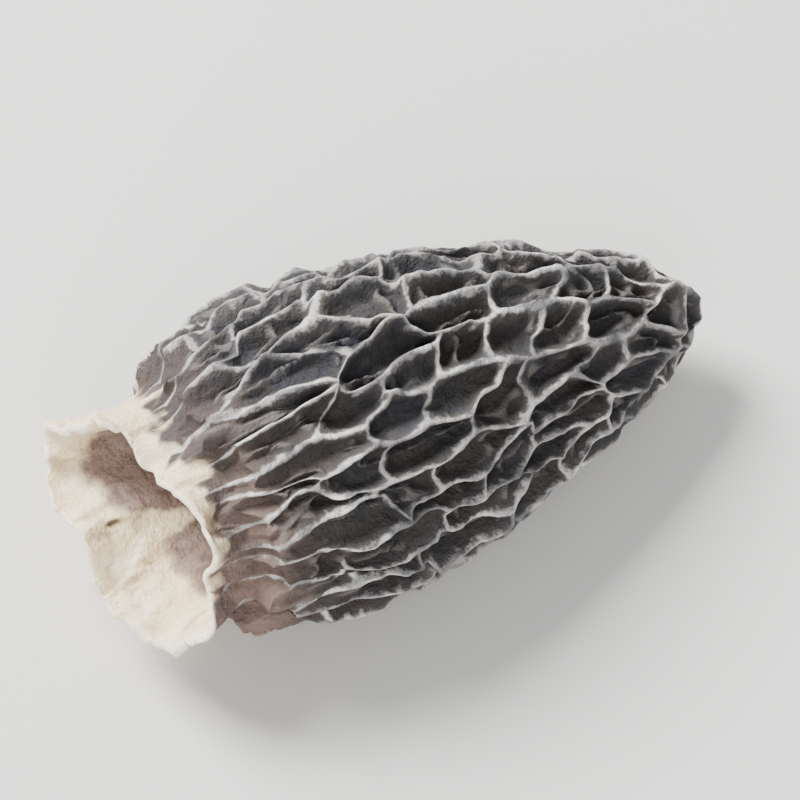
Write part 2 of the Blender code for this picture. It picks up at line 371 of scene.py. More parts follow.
# %% [markdown]
# ## Ridges like thin blades
#
# In a section, a dried ridge is a blade: a crest a fifth of a millimetre thick, sides that drop
# steeply and then flare out into the pit's floor. A bevelled tube along each ridge would lie on the
# cap like a cord. Here the ridge is what is left where the pits sink, as on the real one, so each
# point needs its distance in millimetres from every side of its pit. A side is part of a great
# circle, so the distance is a dot product with that circle's normal, turned to millimetres by the
# cap's own scale there.

# %% Distance from the ridges
FAR_AWAY = 1000.0


def side_table():
    """The numbers of each pit's sides, filled up with -1."""
    rank = np.arange(len(sides)) - np.searchsorted(side_pit, side_pit)
    table = np.full((PITS, rank.max() + 1), -1)
    table[side_pit, rank] = np.arange(len(sides))
    return table


def ridge_distances(net, pit):
    """Distance in mm from each side of the pit, and the place along it from 0 to 1.

    Dot product with the side's normal, over the length of that normal's slope per mm. A side that
    is open to the stem, or that isn't there, is a metre away.
    """
    near = side_table()[pit]
    normal = unit(np.cross(side_a, side_b))
    around, along = round_and_along(net)
    scale_a, scale_l = mm_per_radian(net)
    flat = np.einsum("skc,sjc->skj", net, normal[near])
    slope = np.hypot(
        np.einsum("skc,sjc->skj", around, normal[near]) / scale_a[..., None],
        np.einsum("skc,sjc->skj", along, normal[near]) / scale_l[..., None],
    )
    distance = np.maximum(flat, 0.0) / np.maximum(slope, 1e-9)
    distance[np.broadcast_to(((near < 0) | side_open[near])[:, None], distance.shape)] = FAR_AWAY
    run = side_run / (side_run**2).sum(1, keepdims=True)
    offset = np.einsum("skc,sjc->skj", net, run[near]) - (side_a * run).sum(1)[near][:, None]
    return distance, np.clip(offset, 0, 1), near


distance, place, near = ridge_distances(grid, grid_pit)
ridge_mm = distance.min(axis=-1)
print("deepest points lie", ridge_mm.max().round(2), "mm from a ridge")

# %% Crests that sag
# A ridge that runs round the cap sags between its ends, by up to 0.40 of the depth, and by up to
# 0.75 towards the margin, or less if it is under 2.4 mm long. One that runs along the cap doesn't.
cross_share = (unit(side_run) * middle_around).sum(1) ** 2
margin_share = smooth((np.arccos(side_middle[:, 2]) / MARGIN - 0.55) / 0.4)
side_sag = (0.40 + 0.35 * margin_share) * cross_share * np.minimum(1.0, side_length / 2.4)
print("deepest sag is", side_sag.max().round(2), "of the depth")

# %% Height of the ridges
# In mm from the crest line: where the wall starts, and where its foot is
CREST_HALF, WALL_REACH = 0.10, 0.74
# How hollow the wall's section is
WALL_CURVE = 1.8


def depth_shares():
    """How deep each point lies, as a share of the full depth, and how much of a ridge it is.

    A side's weight is (1 − s)^1.8, with s from 0 at the edge of its crest to 1 at the wall's foot.
    What is left of the product of 1 − weight is floor. Crests sag in the middle by 4t(1 − t).
    """
    half = CREST_HALF * (1.0 + 0.4 * rough(grid, 0.11, 21))[..., None]
    fall = np.clip((distance - half) / (WALL_REACH - half), 0, 1)
    weight = (1 - fall) ** WALL_CURVE
    ridge = 1 - np.prod(1 - weight, axis=-1)
    sag = side_sag[near][:, None] * 4 * place * (1 - place)
    crest = (weight**2 * sag).sum(-1) / np.maximum((weight**2).sum(-1), 1e-9)
    # The floor is a shallow bowl, with its full depth from 1.4 mm off the nearest ridge
    bowl = 0.86 + 0.14 * np.clip(ridge_mm / 1.4, 0, 1)
    floor = pit_share[grid_pit][:, None] * bowl
    return crest * ridge + floor * (1 - ridge), ridge


depth, ridge = depth_shares()
print("mean depth", (depth.mean() * PIT_DEPTH / MM).round(2), "mm")

# %% [markdown]
# ## Pleats and veins
#
# Drying puckers the walls of the pits into fine upright pleats, and leaves low veins on their
# floors. A bump texture could draw both, but the pleats show in the line of every crest, so they
# are part of the shape. A pleat keeps its place along the crest all the way in, so it is one value
# for each spoke, and it is widest halfway up the wall. A vein is where a slow roughness passes
# through zero, which gives long wandering lines.

# %% Pleats in the walls and veins on the floors
# The heights are shares of the full depth. The width is the roughness at which a vein ends.
PLEAT_HEIGHT, VEIN_HEIGHT, VEIN_WIDTH = 0.13, 0.42, 0.27
pleat = rough(grid[:, :1], 0.050, 25) + 0.6 * rough(grid[:, :1], 0.028, 26)
depth += PLEAT_HEIGHT * pleat * 4 * ridge * (1 - ridge)
vein = smooth(1 - np.abs(rough(grid, 0.125, 27)) / VEIN_WIDTH) * (1 - ridge)
depth -= VEIN_HEIGHT * vein * pit_share[grid_pit][:, None]
print("veins cover", round(100 * float((vein > 0.5).mean())), "% of the grid")

# %% Shallower pits at the margin
# Over the last sixth of the way the pits lose a quarter of their depth, and ridges sink a third
near_margin = smooth((np.arccos(np.clip(grid[..., 2], -1, 1)) / MARGIN - 0.84) / 0.16)
depth = depth * (1 - 0.25 * near_margin) + 0.34 * near_margin * ridge
print("mean depth is now", (depth.mean() * PIT_DEPTH / MM).round(2), "mm")

# %% [markdown]
# ## One mesh out of many grids
#
# Neighbouring grids meet in the same places, and the surface is closed only once each place is one
# point. Merge by Distance could do that in the mesh, but the steps that follow need each point
# once. So equal points get one number, after rounding, because some differ in the last digit.

# %% Weld the grids
flat_net = grid.reshape(-1, 3)
_, first_use, number = np.unique(
    np.round(flat_net * 1e7).astype(np.int64), axis=0, return_index=True, return_inverse=True
)
number = number.reshape(grid.shape[:2])
net = flat_net[first_use]


def welded(values):
    """The mean of a value over the grid points that became one."""
    flat = number.ravel()
    return np.bincount(flat, values.ravel()) / np.bincount(flat)


depth, ridge, ridge_mm, vein = map(welded, (depth, ridge, ridge_mm, vein))
same_side = spoke_side[1:] == spoke_side[:-1]
left, right = number[:-1][same_side], number[1:][same_side]
cap_quads = np.stack([left[:, :-2], right[:, :-2], right[:, 1:-1], left[:, 1:-1]], axis=-1)
cap_quads = cap_quads.reshape(-1, 4)
cap_tris = np.stack([left[:, -2], right[:, -2], left[:, -1]], axis=-1)
open_spokes = side_open[spoke_side]
loop = np.unique(number[open_spokes, 0])
loop = loop[np.argsort(np.arctan2(net[loop, 1], net[loop, 0]))]
print(len(net), "points on the cap,", len(loop), "round the margin")

# %% [markdown]
# ## From the sphere to the cap
#
# The sphere is first warped by a few long waves, so the ridges meander, and a finer roughness makes
# each ridge wander. Then the polar angle sets how far down the profile a point lies and its turn
# stays. Last, each point sinks towards the cap's core by its own depth. Displace could sink it
# too, but square to the surface, and real pits point to the core.


# %% Waves that make the ridges meander
def wave(points, along, phase):
    """The sine of the distance along one direction."""
    return np.sin(points @ np.array(along) + phase)


def warp(points):
    """Slides points by a long and a short sine in each direction, and brings them back to 1."""
    slide = np.stack(
        [
            0.045 * wave(points, (2.1, 5.3, 3.7), 0.4) + 0.024 * wave(points, (15, -8, 9), 1.9),
            0.045 * wave(points, (4.6, -2.2, 4.9), 2.2) + 0.024 * wave(points, (-8, 14, 11), 0.7),
            0.040 * wave(points, (-3.9, 4.1, 2.3), 4.1) + 0.018 * wave(points, (11, 9, -13), 3.3),
        ],
        axis=-1,
    )
    return unit(points + slide)


def surface_waves(points):
    """The product of two sines, by which the whole surface dips here and there."""
    return 0.08 + 0.08 * wave(points, (11, 6, -8), 0.9) * wave(points, (-5, 9, 7), 2.0)


# %% Carry the net to the cap
def cap_points(points):
    """x from the arc, whose share is the polar angle's share to the power 1.22, at its turn."""
    polar = np.arccos(np.clip(points[:, 2], -1, 1))
    turn = np.arctan2(points[:, 1], points[:, 0])
    return cap_section(np.interp((polar / MARGIN) ** TIP_CROWDING, ARC, PROFILE_X), turn)


def sunk(points, share):
    """Moves points towards the core line by their share of the full depth, less at the tip."""
    x = np.clip(points[:, 0], 0.0, 0.82 * CAP_LENGTH)
    core = np.stack([x, *axis_offset(x)], axis=-1)
    radius = np.interp(-points[:, 0], -PROFILE_X, PROFILE_RADIUS)
    deep = PIT_DEPTH * (0.5 + 0.5 * radius / PROFILE_RADIUS.max()) * share
    return points + unit(core - points) * deep[:, None]


# %% [markdown]
# ## How it lies
#
# Dried morels lie loose on their sides, and where one dried against the rack its ridges are pressed
# flat. A physics run could settle it, but the CAD solid lies already: its body is rolled by 3
# degrees, pitched by 4 and lowered until 0.6 mm of its belly would be under the floor, and what
# would be under it is lifted to it. Pits that lie that low are pressed shut, or they would be left
# as shallow dents in the flat spot.

# %% Lay the body down
ROLL, PITCH = math.radians(3.0), math.radians(4.0)
# The CAD solid's own shift, which puts the middle of its box over the origin
LYING_SHIFT = np.array([-14.2725, -1.2334, 8.8976]) * MM


def laid_down(points):
    """Rolls and pitches the body, and lowers it until it is pressed 0.6 mm flat on z = 0."""
    x, y, z = points[..., 0], points[..., 1], points[..., 2]
    y, z = y * math.cos(ROLL) - z * math.sin(ROLL), y * math.sin(ROLL) + z * math.cos(ROLL)
    x, z = x * math.cos(PITCH) + z * math.sin(PITCH), z * math.cos(PITCH) - x * math.sin(PITCH)
    lying = np.stack([x, y, z], axis=-1) + LYING_SHIFT
    lying[..., 2] = np.maximum(lying[..., 2], 0.0)
    return lying


tip_place = laid_down(np.array([[CAP_LENGTH, 0.0, 0.0]]))[0]
print("the tip of the axis lies at", (tip_place / MM).round(1), "mm")

# %% Pits that are pressed shut underneath
# A pit is shut where its corners' mean height is under 0.2 mm, and fully open from 1 mm up
corner_place = sunk(cap_points(warp(corners)), surface_waves(corners))
upwards = np.array([-math.sin(PITCH), math.sin(ROLL), math.cos(ROLL)])
corner_z = corner_place @ upwards + LYING_SHIFT[2]
pit_z = gathered(corner_z[sides[:, 0]], side_pit, PITS) / np.bincount(side_pit, minlength=PITS)
open_share = smooth((pit_z / MM - 0.2) / 0.8)
pressed = welded(np.repeat(open_share[grid_pit][:, None], len(IN_STEPS), axis=1))
depth = depth * pressed
print((open_share < 0.5).sum(), "pits are pressed flat where it lies")

# %% Points of the cap
# Each ridge wanders widely by 0.026 of the sphere's radius, and finely by 0.009
wander = 0.026 * rough_vectors(net, 0.14, 40) + 0.009 * rough_vectors(net, 0.06, 44)
cap = cap_points(unit(warp(net) + wander))

# Crests are ragged, floors are creased, and the base of the cap has long wrinkles
ragged = 0.04 + 0.14 * rough(cap / MM, 1.5, 51) + 0.08 * rough(cap / MM, 0.6, 52)
creased = 0.08 * np.abs(rough(cap / MM, 1.0, 53)) - 0.06 * rough(cap / MM, 0.6, 54)
near_base = smooth(1 - cap[:, 0] / (11 * MM))
base_wrinkles = 0.16 * near_base * rough(cap / MM, (3.2, 0.55, 0.55), 55)
uneven = surface_waves(net) + ragged * ridge + creased * (1 - ridge) + base_wrinkles
cap = sunk(cap, depth + uneven)

# A thin dry crest leans over, by about a third of a millimetre at most
LEAN = 0.36 * MM
cap += LEAN * rough_vectors(cap / MM, 1.9, 60) * (ridge * smooth(cap[:, 0] / MM))[:, None]
print("cap reaches x", (cap[:, 0].max() / MM).round(2), "mm on its own axis")

# %% [markdown]
# ## The stem, its cut mouth and the hollow
#
# The stem goes on from the margin without a seam: the ridges run out over the shoulder, and then
# the flesh is pale and crumpled. It was cut across at a slant, and dried with its top creased in.
# The same surface turns over the cut edge, goes down the inside of the wall and up into the cap.
# It could be lofted by hand between drawn rings. Here each ring is an oval worked out from its
# share of the way, so the folds run on from one ring to the next.

# %% Outline of the stem
STEM_LENGTH, STEM_WIDTH, STEM_HEIGHT = 5.4 * MM, 17.8 * MM, 11.8 * MM


def turn_from(turn, centre_deg):
    """How far a turn is from a centre, between minus and plus half a circle."""
    return np.angle(np.exp(1j * (turn - math.radians(centre_deg))))


def bump_at(turn, centre_deg, spread_deg):
    """e to the minus square of the turn's distance from a centre, over a spread."""
    return np.exp(-((turn_from(turn, centre_deg) / math.radians(spread_deg)) ** 2))


def stem_section(x, turn, spread):
    """An oval that widens with the spread to the power 1.5, folded by cosines, pinched by bumps."""
    size = 0.86 + 0.14 * spread**1.5
    fold = 1 + (0.02 + 0.08 * spread) * (
        np.cos(3 * turn + 0.9) + 0.5 * np.cos(5 * turn + 2.4) + 0.4 * np.cos(8 * turn + 0.2)
    )
    crease = 0.55 * spread * bump_at(turn, 76.0, 21.0) + 0.45 * spread * bump_at(turn, 285.0, 21.0)
    size = size * fold * (lobes(turn, 0.0) + (1 - lobes(turn, 0.0)) * spread)
    return section(x, turn, STEM_WIDTH / 2 * size, STEM_HEIGHT / 2 * size * (1 - crease))


# %% Crumpled flesh
def folds(at):
    """1 in the bottom of sharp folds, which run where a slow roughness passes through zero."""
    return smooth(1 - np.abs(rough(at, 2.8, 74)) / 0.15)


def crumpled(ring, amount):
    """The ring moved in and out from its axis by long wrinkles, lumps and sharp folds, in mm."""
    at = ring / MM
    long_wrinkles = 0.24 * rough(at, (3.6, 1.2, 1.2), 71)
    lumps = 0.30 * rough(at, 2.1, 72) + 0.13 * rough(at, 0.9, 73)
    lumps -= 0.38 * folds(at)
    out = ring.copy()
    aside, up = axis_offset(ring[..., 0])
    out[..., 1] -= aside
    out[..., 2] -= up
    radius = np.hypot(out[..., 1], out[..., 2])
    out[..., 1:] *= (1 + (long_wrinkles + lumps) * MM * amount / radius)[..., None]
    out[..., 1] += aside
    out[..., 2] += up
    return out


# %% The slanting cut and the wall
WALL = 1.1 * MM


def cut_x(turn):
    """The slanting cut: a cosine of the turn, with smaller ones of 3 and 7 times it."""
    slant = 0.55 * np.cos(turn + math.radians(65.0))
    return -STEM_LENGTH * (1 + slant + 0.05 * np.cos(3 * turn + 0.5) + 0.03 * np.cos(7 * turn))


def thinned(rings, wall):
    """Each ring moved in by the thickness of the wall, square to its own outline.

    The outline's direction is taken over a fourteenth of the ring to each side, so that single
    wrinkles don't turn the wall.
    """
    reach = round(rings.shape[1] * 4 / 57)
    along = np.roll(rings, -reach, axis=1) - np.roll(rings, reach, axis=1)
    outward = unit(np.stack([along[..., 2], -along[..., 1]], axis=-1))
    inner = rings.copy()
    inner[..., 1:] -= outward * wall
    return inner


# %% The rim that the stem starts from
# The rim has the net's own uneven points. Down the stem they move until they are evenly spaced.
rim, rim_ridge, points_round = cap[loop], ridge[loop], len(loop)
warped_loop = warp(net[loop])
rim_turn = np.unwrap(np.arctan2(warped_loop[:, 1], warped_loop[:, 0]))
from_middle = np.arange(points_round) - (points_round - 1) / 2
even_turn = rim_turn.mean() + 2 * math.pi * from_middle / points_round
neck_turn = (rim_turn + even_turn) / 2
neck_x = rim[:, 0] - 0.9 * MM

# The knife tore the flesh a little, by up to 0.3 mm
torn = 0.30 * MM * rough(cap_section(np.zeros(points_round), even_turn) / MM, 1.4, 81)
print("the rim has", points_round, "points")


# %% Outside of the stem
def rows(count):
    """Shares from 0 to 1 as a column."""
    return np.linspace(0, 1, count)[:, None]


STEM_ROWS, RIB_HEIGHT = 28, 0.45 * MM
share = rows(STEM_ROWS)
turn = neck_turn + (even_turn - neck_turn) * share
x = neck_x * (1 - share) + (cut_x(turn) + torn) * share
outside = crumpled(stem_section(x, turn, share**1.3), 0.35 + 0.65 * share)

# The cap's ridges run on as ribs over the first third of the stem
ribs = RIB_HEIGHT * rim_ridge * (1 - smooth(share / 0.35))
axis = np.stack([x, *axis_offset(x)], axis=-1)
outside = outside + unit(outside - axis) * ribs[..., None]
print("stem runs from x", (x.max() / MM).round(1), "to", (x.min() / MM).round(1), "mm")


# %% Shoulder between the cap and the stem
def rows_between(count):
    """Shares between 0 and 1 as a column, without the ends, which other rings hold."""
    return rows(count + 2)[1:-1]


SHOULDER_ROWS, SHOULDER_BULGE = 6, 0.35 * MM
share = rows_between(SHOULDER_ROWS)[..., None]
shoulder = rim * (1 - share) + outside[:1] * share
shoulder[..., 0] += SHOULDER_BULGE * np.sin(math.pi * share[..., 0])
print("shoulder of", len(shoulder), "rings")

# %% Inside of the mouth
# The hollow's own shape starts 1.2 mm past the base of the cap
MOUTH_ROWS, HOLLOW_START = 20, 1.2 * MM
share = rows(MOUTH_ROWS)
x = (cut_x(even_turn) + torn) * (1 - share) + HOLLOW_START * share
mouth = crumpled(stem_section(x, even_turn, (1 - share) ** 1.3), 0.35 + 0.65 * (1 - share))

# The wall is thinner at the cut, 0.72 of its thickness, because the flesh shrank back there
mouth = thinned(mouth, WALL * (0.72 + 0.28 * smooth(share * 3))[..., None])
print("mouth is", (np.ptp(mouth[0, :, 1]) / MM).round(1), "mm wide")

# %% The cut edge
LIP_ROWS, LIP_ROUNDING = 4, 0.22 * MM
share = rows_between(LIP_ROWS)[..., None]
cut_edge = outside[-1:] * (1 - share) + mouth[:1] * share
cut_edge[..., 0] -= LIP_ROUNDING * np.sin(math.pi * share[..., 0])
print("cut edge reaches x", (cut_edge[..., 0].min() / MM).round(2), "mm")

# %% The hollow in the cap
# It keeps a full wall under the deepest pits, and closes like a thimble at four fifths of the cap
HOLLOW_ROWS, HOLLOW_END = 11, 0.80 * CAP_LENGTH
share = rows_between(HOLLOW_ROWS)
x = HOLLOW_START + (HOLLOW_END - HOLLOW_START) * share + 0 * even_turn
wide = cap_section(x, even_turn, PIT_DEPTH * 1.18 + WALL)
middle = section(x, even_turn, 0.0, 0.0)
wide = middle + (wide - middle) * np.sqrt(1 - share**4)[..., None]

# Over its first quarter it grows out of the throat's creased outline
throat = mouth[-1:] + np.stack([x - HOLLOW_START, 0 * x, 0 * x], axis=-1)
blend = smooth(share / 0.25)[..., None]
hollow = throat * (1 - blend) + wide * blend
print("hollow is", (np.ptp(hollow[..., 1]) / MM).round(1), "mm wide")

# %% All rings in order
zones = [shoulder, outside, cut_edge, mouth, hollow]
# The numbers of the zones, up to the hollow's
SHOULDER, OUTSIDE, CUT_EDGE, MOUTH = range(4)
rings = np.concatenate(zones)
zone = np.repeat(np.arange(5), [len(part) for part in zones])[:, None]
ring_turn = np.arctan2(rings[..., 2], rings[..., 1])
from_lip = (rings[..., 0] - cut_edge[..., 0].min(axis=0)) / MM
inside_mm = np.where(zone >= MOUTH, from_lip, 0.0)
print(len(rings), "rings of", points_round, "points")

# %% [markdown]
# ## A small sunken spot
#
# In the cream flesh just inside the mouth is one small dark spot, where the flesh sank in as it
# dried. It could be painted alone, but a real dent catches the light on its rim. So a bell over
# the distance from its middle sinks the surface, and the finish darkens the same bell with painted
# shade.

# %% Sink the spot
# Its turn in degrees. Then, in mm, how far in it is, its spread, and one radian of the mouth.
SPOT_TURN, SPOT_IN, SPOT_SPREAD, MM_PER_TURN = -42.0, 2.3, 0.62, 6.0
SPOT_DEPTH = 0.35 * MM
away = np.hypot(inside_mm - SPOT_IN, turn_from(ring_turn, SPOT_TURN) * MM_PER_TURN)
spot = np.exp(-((away / SPOT_SPREAD) ** 2)) * np.where(zone == MOUTH, 1.0, 0.0)
outwards = np.stack([0 * ring_turn, np.cos(ring_turn), np.sin(ring_turn)], axis=-1)
rings = rings + SPOT_DEPTH * spot[..., None] * outwards
print("spot covers", int((spot > 0.5).sum()), "points")

# %% [markdown]
# ## One closed surface
#
# The real wall has an outside and an inside that meet at the cut, and so has the mesh. Solidify
# could add the inner side, but it would copy every pit to it, and a real one is smooth. Here the
# cap's rim and the rings share their points: a belt of quads ties each ring to the next, and
# triangles tie the last one to a point, so nothing is left open.

# %% Join the cap, the rings and the end of the hollow
ring_numbers = len(cap) + np.arange(rings.shape[0] * rings.shape[1]).reshape(rings.shape[:2])
ladder = np.concatenate([loop[None], ring_numbers])
above, below = ladder[:-1], ladder[1:]
ring_quads = np.stack(
    [np.roll(above, -1, axis=1), above, below, np.roll(below, -1, axis=1)], axis=-1
).reshape(-1, 4)
tip_number = len(cap) + ring_numbers.size
tip_tris = np.stack(
    [np.roll(ladder[-1], -1), ladder[-1], np.full(points_round, tip_number)], axis=-1
)
hollow_tip = section(np.array([HOLLOW_END]), np.zeros(1), 0.0, 0.0)
upright = np.concatenate([cap, rings.reshape(-1, 3), hollow_tip])
points = laid_down(upright)
quads = np.concatenate([cap_quads, ring_quads])
tris = np.concatenate([cap_tris, tip_tris])
print("triangles", 2 * len(quads) + len(tris))

# %% Put the surface into a mesh
mesh = bpy.data.meshes.new("morel")
mesh.from_pydata(points, [], quads.tolist() + tris.tolist(), shade_flat=False)
mesh.validate()
morel = bpy.data.objects.new("morel", mesh)
bpy.context.scene.collection.objects.link(morel)
print("mesh", len(mesh.vertices), "points,", len(mesh.polygons), "faces")

# %% [markdown]
# ## What the finish needs to know
#
# Colour follows form on a morel: pale on the crests and cream where the flesh was cut, and brown
# painted shade deep in the hollow. A painted image could hold that, but it would have to be
# unwrapped and would blur on so thin a crest. The mesh can carry it instead: one number for each
# point, kept under a name that a material reads. Each comes from the values that made the shape.

# %% How far the cream flesh reaches
# Outside, the cream runs 1 to 7 mm up from the cut, in streaks, and furthest on the far side
ring_mm = rings / MM
streaks = rough(ring_mm, (4.0, 0.8, 0.8), 91) + 0.6 * rough(ring_mm, 0.7, 94)
far_side = smooth(0.5 + 0.9 * np.cos(ring_turn + math.radians(62.0)))
near_side = smooth(0.2 + 0.9 * np.cos(ring_turn - math.radians(195.0)))
cream_length = 2.2 + 4.5 * far_side - 1.2 * near_side + 1.5 * streaks * (1 - 0.5 * near_side)
flesh = np.where(zone >= CUT_EDGE, 1.0, smooth((cream_length - from_lip) / 1.1))

# Inside, the cream gives way to painted shade, brown deep in the hollow, 2 to 8 mm in and furthest in
# at the lower crease
lower_side = smooth(0.5 - np.cos(ring_turn))
cream_reach = 2.4 + 1.6 * lower_side + 4.5 * bump_at(ring_turn, 288.0, 26.0)
cream_reach += 0.7 * rough(ring_mm, 1.6, 92) + 0.35 * rough(ring_mm, 0.6, 93)
hollow_shade = smooth((inside_mm - cream_reach) / 0.9)
print("cream covers", round(100 * float(((flesh > 0.5) & (hollow_shade < 0.5)).mean())), "% of the rings")

# %% Folds, and ridges that run out on the stem
lip = np.where(zone == CUT_EDGE, 1.0, 0.0) + np.zeros_like(hollow_shade)
# Painted shade: the finish darkens the flesh in the bottoms of these folds, while on the cap the same
# mark holds the veins
fold = folds(ring_mm) * np.where((zone >= OUTSIDE) & (zone <= MOUTH), 1.0, 0.0)
row_share = np.concatenate([rows(len(part)) for part in zones])
down_stem = np.select(
    [zone == SHOULDER, zone == OUTSIDE], [0.25 * row_share, 0.25 + 0.75 * row_share], 1.0
)
fading = 1 - smooth(down_stem)
margin_mm = np.minimum(ridge_mm[loop], 3)[None] + 0.15 * down_stem
print("folds cover", round(100 * float((fold > 0.5).mean())), "% of the rings")

# %% Where the base of the cap dried brown
# Over the 4 mm at the base of the cap, and most low on its near side
aside, up = axis_offset(upright[:, 0])
body_turn = np.arctan2(upright[:, 2] - up, upright[:, 1] - aside)
low_side = smooth(0.5 + 0.8 * np.cos(body_turn - math.radians(215.0)))
browned = smooth((4.2 - upright[:, 0] / MM) / 4.6) * (0.22 + 0.63 * low_side)
print("browned by up to", browned.max().round(2))


# %% Write the marks on the points
def whole(cap_values, ring_values, tip_value):
    """Values of the cap, the rings and the last point, in the mesh's order."""
    return np.concatenate([cap_values, ring_values.ravel(), [tip_value]])


no_cap = np.zeros(len(cap))
marks = {
    "ridge": whole(ridge, rim_ridge[None] * fading, 0.0),
    "ridge_mm": whole(np.minimum(ridge_mm, 3), margin_mm, 3.0),
    "flesh": whole(no_cap, flesh, 1.0),
    "hollow_shade": whole(no_cap, hollow_shade, 1.0),
    "lip": whole(no_cap, lip, 0.0),
    "fold": whole(vein, fold, 0.0),
    "spot": whole(no_cap, spot, 0.0),
    "browned": browned,
}
for name, values in marks.items():
    mark = mesh.attributes.new(name, "FLOAT", "POINT")
    mark.data.foreach_set("value", values.astype(np.float32))
print("marks", ", ".join(marks))

# %% [markdown]
# ## Dried skin and dried flesh
#
# The cap is dried mushroom skin: thin, leathery and closed, shrunk tight over the net. It dries
# nearly black in the pits, and along the ridges it wears and bleaches to a thin pale grey line. The
# stem is dried flesh: fibrous, mealy and crumpled, and cream where it was cut. Its folds and the
# deep part of its hollow are painted darker, as painted shade. Neither has a gloss, so the eye reads
# both by tone and by fine relief.
#
# Two materials would meet in a hard line, and the real one fades from skin to flesh. So one
# material does all of it, and the marks on the mesh say which of the two is where.


# %% Colours and nodes
def colour(code):
    """An sRGB hex code as linear red, green, blue and alpha."""
    parts = [int(code[k:k + 2], 16) / 255 for k in (1, 3, 5)]
    return [p / 12.92 if p <= 0.04045 else ((p + 0.055) / 1.055) ** 2.4 for p in parts] + [1.0]


def add_node(tree, kind, settings=None, **links):
    """Adds a node, sets its properties, and sets or links the inputs that are given by name."""
    node = tree.nodes.new(kind)
    for name, value in (settings or {}).items():
        setattr(node, name, value)
    for name, value in links.items():
        socket = node.inputs[int(name[1:]) if name[1:].isdigit() else name.replace("_", " ")]
        if isinstance(value, bpy.types.NodeSocket):
            tree.links.new(value, socket)
        else:
            socket.default_value = value
    return node


print("the hex grey #808080 is", round(colour("#808080")[0], 3), "in linear light")

# %% Patterns of the skin and the flesh
# Each size is that of one patch of the real pattern, in mm, with how many finer layers it has.
# Uneven drying leaves blotches of 6 mm and patches about as wide as a pit. Stains are near 1 mm.
# Wrinkles are finer, and have finer ones in them. The mealy grain is under 0.1 mm, and is drawn at
# 0.28 mm so that it shows at all.
skin_and_flesh = bpy.data.materials.new("dried morel skin and cream flesh")
skin_and_flesh.use_nodes = True
tree = skin_and_flesh.node_tree
on_object = add_node(tree, "ShaderNodeTexCoord").outputs["Object"]
pattern = {}
for name, size_mm, detail in (
    ("blotch", 6.0, 3.0),
    ("patch", 2.2, 3.0),
    ("stain", 1.3, 3.0),
    ("wrinkle", 0.75, 5.0),
    ("grain", 0.28, 3.0),
):
    noise = add_node(
        tree, "ShaderNodeTexNoise",
        Vector=on_object, Scale=1 / (size_mm * MM), Detail=detail, Roughness=0.6,
    )
    pattern[name] = noise.outputs["Fac"]
for name in marks:
    node = add_node(tree, "ShaderNodeAttribute", {"attribute_name": name})
    pattern[name] = node.outputs["Fac"]
print(len(pattern), "patterns")

# %% [markdown]
# ## Tints over tints
#
# A real tone on the mushroom is a stack: black skin, grey dust on it, a worn edge over that. One
# colour ramp can't hold it, because each layer follows a pattern of its own. So each tint has a
# name and a cover, which is 0 where the tint is absent and 1 where it hides what is under it. Each
# cover is a smooth step of one pattern between two of its values.

# %% Where each tint lies
cover = {name: pattern[name] for name in ("flesh", "hollow_shade", "lip", "browned")}
STEP = {"interpolation_type": "SMOOTHSTEP"}
for name, source, low, high, before, after in (
    ("blotched", "blotch", 0.35, 0.65, 0.0, 1.0),
    ("bleached", "blotch", 0.40, 0.62, 0.0, 1.0),
    ("patched", "patch", 0.35, 0.65, 0.0, 1.0),
    ("rubbed", "patch", 0.36, 0.60, 0.30, 1.0),
    ("uneven", "patch", 0.40, 0.60, 0.55, 1.0),
    ("dusty", "wrinkle", 0.50, 0.66, 0.0, 0.5),
    ("mottled", "wrinkle", 0.35, 0.65, 0.0, 1.0),
    ("frayed", "wrinkle", 0.30, 0.70, 0.10, -0.08),
    ("specked", "wrinkle", 0.62, 0.74, 0.0, 0.5),
    ("stained", "stain", 0.56, 0.72, 0.0, 0.5),
    ("veined", "fold", 0.50, 1.00, 0.0, 0.60),
    # Painted shade in the bottoms of the stem's folds
    ("folded", "fold", 0.00, 1.00, 0.0, 0.55),
    # Painted shade in the sunken spot
    ("spot_shade", "spot", 0.20, 0.75, 0.0, 0.9),
    ("side", "ridge", 0.25, 0.95, 0.0, 1.0),
):
    node = add_node(
        tree, "ShaderNodeMapRange", STEP, Value=pattern[source],
        From_Min=low, From_Max=high, To_Min=before, To_Max=after,
    )
    cover[name] = node.outputs[0]
print(len(cover), "covers")

# %% Where the pale edge shows
# It reaches a quarter of a millimetre down from the crest, is frayed, and is rubbed off in patches
edge_mm = add_node(
    tree, "ShaderNodeMath", {"operation": "ADD"}, _0=pattern["ridge_mm"], _1=cover["frayed"]
)
crest = add_node(
    tree, "ShaderNodeMapRange", STEP, Value=edge_mm.outputs[0],
    From_Min=0.05, From_Max=0.26, To_Min=1.0, To_Max=0.0,
)
cover["crest"] = crest.outputs[0]
for name, one, other in (("pale edge", "crest", "rubbed"), ("base", "browned", "uneven")):
    node = add_node(
        tree, "ShaderNodeMath", {"operation": "MULTIPLY"}, _0=cover[one], _1=cover[other]
    )
    cover[name] = node.outputs[0]
print("with the pale edge and the base,", len(cover))

# %% The tints
# Dark skin is a cold or a warm black, never pure black, because it is dusty
hex_codes = {
    "cold black": "#2e2f34", "warm black": "#3e3834", "grey dust": "#4e4945",
    "grey vein": "#78726d", "dark side": "#3b3a3d", "light side": "#57514d",
    "grey edge": "#aca8a5", "white edge": "#dad8d5", "base brown": "#866f64",
    "straw": "#f0d9ae", "ivory": "#fdeccb", "tan": "#c4a57e", "dark tan": "#ae8f6c",
    # The tan of the folds is painted shade
    # The umber of the spot is painted shade
    "fold shade tan": "#b8976f", "cut cream": "#fff2d8", "spot shade umber": "#5b483d",
    # The hollow's brown and pink are painted shade deep in the mouth
    "hollow shade brown": "#7b675c", "hollow shade pink": "#98837a",
}
tones = {name: colour(code) for name, code in hex_codes.items()}
print(len(tones), "tints")

